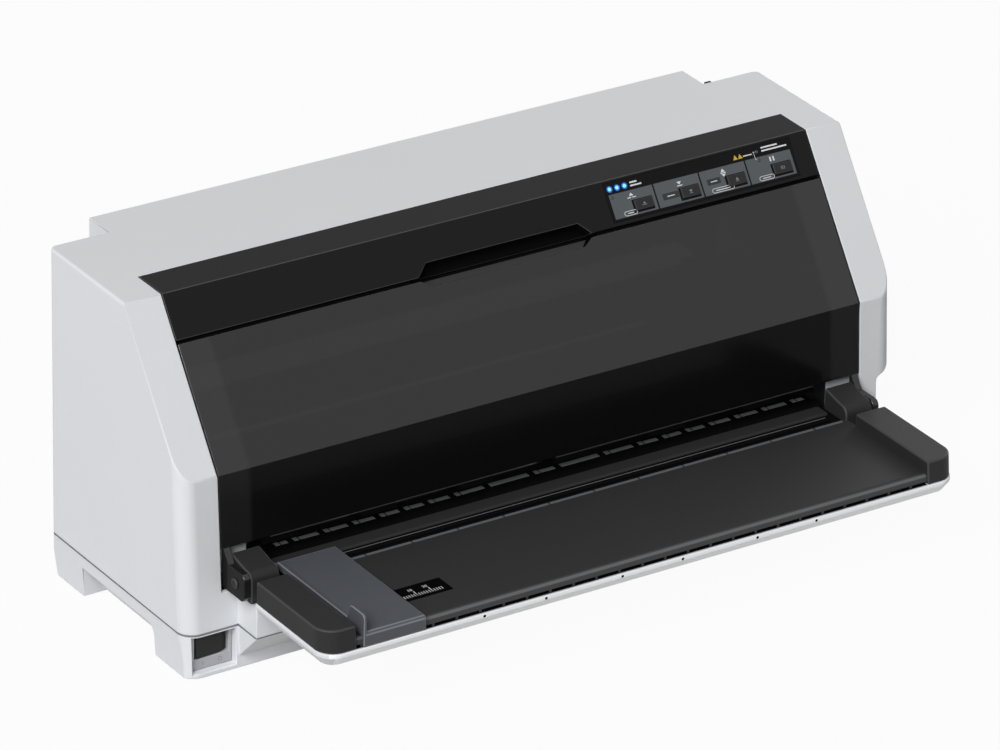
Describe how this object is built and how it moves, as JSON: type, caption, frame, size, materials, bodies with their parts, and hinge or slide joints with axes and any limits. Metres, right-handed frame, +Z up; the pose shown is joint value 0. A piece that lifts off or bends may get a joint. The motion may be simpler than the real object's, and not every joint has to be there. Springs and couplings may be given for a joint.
{
  "type": "dot matrix printer",
  "caption": "Wide flatbed impact printer with a smoked cover that folds forward, a front sheet tray with a sliding edge guide, a key panel, a rocker switch and its paper and carriage drive.",
  "frame": {"origin": "middle of the footprint of the whole object, on the surface it stands on", "axes": "+X along the width to the user's right, +Y from the front tray to the rear hood, +Z up"},
  "size_m": [0.48, 0.274, 0.206],
  "materials": {
    "white_abs": "moulded, fine matt grain",
    "black_abs": "moulded, satin black",
    "dark_grey_abs": "moulded, fine grain",
    "guide_grey_abs": "moulded, satin grey",
    "panel_print": "printed foil, satin",
    "light_lens": "clear moulded lens",
    "circuit_board": "solder mask",
    "smoked_acrylic": "smoked transparent, polished",
    "tear_strip": "stamped strip",
    "scale_print": "printed label, plain numbers",
    "switch_grey": "moulded",
    "switch_black": "moulded",
    "rubber": "matt",
    "steel": "zinc plated sheet",
    "motor_steel": "dark enamel",
    "head_aluminium": "die cast",
    "ribbon_guide_black": "thin moulding",
    "inked_ribbon": "inked nylon weave",
    "acetal": "moulded acetal"
  },
  "bodies": {
    "case": {"lower_case": "white_abs", "upper_case": "white_abs", "front_bezel": "black_abs", "panel_plate": "panel_print", "indicator_lights": "light_lens", "panel_board": "circuit_board", "left_shoulder": "dark_grey_abs", "right_shoulder": "dark_grey_abs", "tray_table": "dark_grey_abs", "tray_base": "white_abs", "tray_scale": "scale_print", "front_paper_guide": "black_abs", "guide_bar": "dark_grey_abs", "rear_paper_guide": "black_abs", "switch_frame": "switch_grey", "rubber_feet": "rubber", "power_inlet": "switch_black", "parallel_port": "steel", "usb_port": "steel", "base_plate": "steel", "left_side_frame": "steel", "right_side_frame": "steel", "platen": "rubber", "carriage_rod": "steel", "front_rail": "steel", "rear_beam": "steel", "ribbon_cartridge": "black_abs", "ribbon": "inked_ribbon", "carriage_motor": "motor_steel", "carriage_belt": "rubber", "feed_motor": "motor_steel", "tractor_shaft": "steel", "main_board": "circuit_board", "power_supply": "steel", "case_screws": "steel"},
    "cover": {"front_cover": "smoked_acrylic", "cover_tear_edge": "tear_strip"},
    "paper_edge_guide": {"edge_guide": "guide_grey_abs"},
    "tear_off_key": {"tear_off_button": "black_abs"},
    "line_feed_key": {"line_feed_button": "black_abs"},
    "load_eject_key": {"load_eject_button": "black_abs"},
    "pause_key": {"pause_button": "black_abs"},
    "rocker": {"power_rocker": "switch_black"},
    "carriage": {"carriage_frame": "black_abs", "print_head": "head_aluminium", "ribbon_guide": "ribbon_guide_black"},
    "knob": {"ribbon_knob": "guide_grey_abs"},
    "drive_wheel": {"drive_pulley": "acetal"},
    "idler_wheel": {"idler_pulley": "acetal"},
    "front_feed": {"front_feed_roller": "rubber"},
    "rear_feed": {"rear_feed_roller": "rubber"},
    "front_pressure": {"front_pressure_roller": "guide_grey_abs"},
    "rear_pressure": {"rear_pressure_roller": "guide_grey_abs"},
    "idler": {"idler_gear": "acetal"},
    "pinion": {"motor_pinion": "acetal"},
    "tractor_left": {"left_tractor": "guide_grey_abs"},
    "tractor_right": {"right_tractor": "guide_grey_abs"},
    "flap_left": {"left_tractor_flap": "black_abs"},
    "flap_right": {"right_tractor_flap": "black_abs"},
    "lever": {"release_lever": "black_abs"}
  },
  "joints": [
    {"name": "cover_hinge", "type": "hinge", "parent": "case", "child": "cover", "pos_m": [0, -0.0455, 0.0605], "axis": [1, 0, 0], "range_deg": [0, 90]},
    {"name": "edge_guide_slide", "type": "slide", "parent": "case", "child": "paper_edge_guide", "axis": [1, 0, 0], "range_m": [0, 0.04]},
    {"name": "tear_off_press", "type": "slide", "parent": "case", "child": "tear_off_key", "axis": [0, 0.8157, -0.5785], "range_m": [0, 0.0008], "stiffness_N_per_m": 400, "springref_m": -0.001},
    {"name": "line_feed_press", "type": "slide", "parent": "case", "child": "line_feed_key", "axis": [0, 0.8157, -0.5785], "range_m": [0, 0.0008], "stiffness_N_per_m": 400, "springref_m": -0.001},
    {"name": "load_eject_press", "type": "slide", "parent": "case", "child": "load_eject_key", "axis": [0, 0.8157, -0.5785], "range_m": [0, 0.0008], "stiffness_N_per_m": 400, "springref_m": -0.001},
    {"name": "pause_press", "type": "slide", "parent": "case", "child": "pause_key", "axis": [0, 0.8157, -0.5785], "range_m": [0, 0.0008], "stiffness_N_per_m": 400, "springref_m": -0.001},
    {"name": "rocker_tilt", "type": "hinge", "parent": "case", "child": "rocker", "pos_m": [-0.2215, -0.02755, 0.0183], "axis": [0, 0, 1], "range_deg": [-10, 0]},
    {"name": "carriage_slide", "type": "slide", "parent": "case", "child": "carriage", "axis": [1, 0, 0], "range_m": [-0.296, 0]},
    {"name": "knob_spin", "type": "hinge", "parent": "case", "child": "knob", "pos_m": [-0.158, -0.011, 0.1003], "axis": [0, 0, 1], "continuous": true},
    {"name": "drive_pulley_spin", "type": "hinge", "parent": "case", "child": "drive_wheel", "pos_m": [-0.1835, 0.0805, 0.093], "axis": [0, 0, 1], "range_deg": [-2130, 0]},
    {"name": "idler_pulley_spin", "type": "hinge", "parent": "case", "child": "idler_wheel", "pos_m": [0.1835, 0.0805, 0.093], "axis": [0, 0, 1], "range_deg": [-2130, 0]},
    {"name": "front_feed_spin", "type": "hinge", "parent": "case", "child": "front_feed", "pos_m": [0, -0.0035, 0.0528], "axis": [1, 0, 0], "continuous": true},
    {"name": "rear_feed_spin", "type": "hinge", "parent": "case", "child": "rear_feed", "pos_m": [0, 0.0645, 0.0528], "axis": [1, 0, 0], "continuous": true},
    {"name": "front_pressure_spin", "type": "hinge", "parent": "case", "child": "front_pressure", "pos_m": [0, -0.0035, 0.0662], "axis": [1, 0, 0], "continuous": true},
    {"name": "rear_pressure_spin", "type": "hinge", "parent": "case", "child": "rear_pressure", "pos_m": [0, 0.0645, 0.0662], "axis": [1, 0, 0], "continuous": true},
    {"name": "idler_gear_spin", "type": "hinge", "parent": "case", "child": "idler", "pos_m": [-0.209, 0.0305, 0.0528], "axis": [1, 0, 0], "continuous": true},
    {"name": "pinion_spin", "type": "hinge", "parent": "case", "child": "pinion", "pos_m": [-0.209, 0.07475, 0.03221], "axis": [1, 0, 0], "continuous": true},
    {"name": "left_tractor_slide", "type": "slide", "parent": "case", "child": "tractor_left", "axis": [1, 0, 0], "range_m": [0, 0.06]},
    {"name": "right_tractor_slide", "type": "slide", "parent": "case", "child": "tractor_right", "axis": [-1, 0, 0], "range_m": [0, 0.06]},
    {"name": "left_flap_hinge", "type": "hinge", "parent": "tractor_left", "child": "flap_left", "pos_m": [-0.1405, 0.0895, 0.0634], "axis": [0, -1, 0], "range_deg": [0, 100]},
    {"name": "right_flap_hinge", "type": "hinge", "parent": "tractor_right", "child": "flap_right", "pos_m": [0.1405, 0.0895, 0.0634], "axis": [0, 1, 0], "range_deg": [0, 100]},
    {"name": "lever_tilt", "type": "hinge", "parent": "case", "child": "lever", "pos_m": [0.208, 0.0915, 0.166], "axis": [1, 0, 0], "range_deg": [-20, 0]}
  ],
  "couplings": [
    {"joint": "drive_pulley_spin", "follows": "carriage_slide", "rad_per_m": 125},
    {"joint": "idler_pulley_spin", "follows": "carriage_slide", "rad_per_m": 125},
    {"joint": "idler_gear_spin", "follows": "front_feed_spin", "ratio": -1},
    {"joint": "rear_feed_spin", "follows": "front_feed_spin", "ratio": 1},
    {"joint": "pinion_spin", "follows": "front_feed_spin", "ratio": -2.8333},
    {"joint": "front_pressure_spin", "follows": "front_feed_spin", "ratio": -1.6},
    {"joint": "rear_pressure_spin", "follows": "front_feed_spin", "ratio": -1.6}
  ]
}
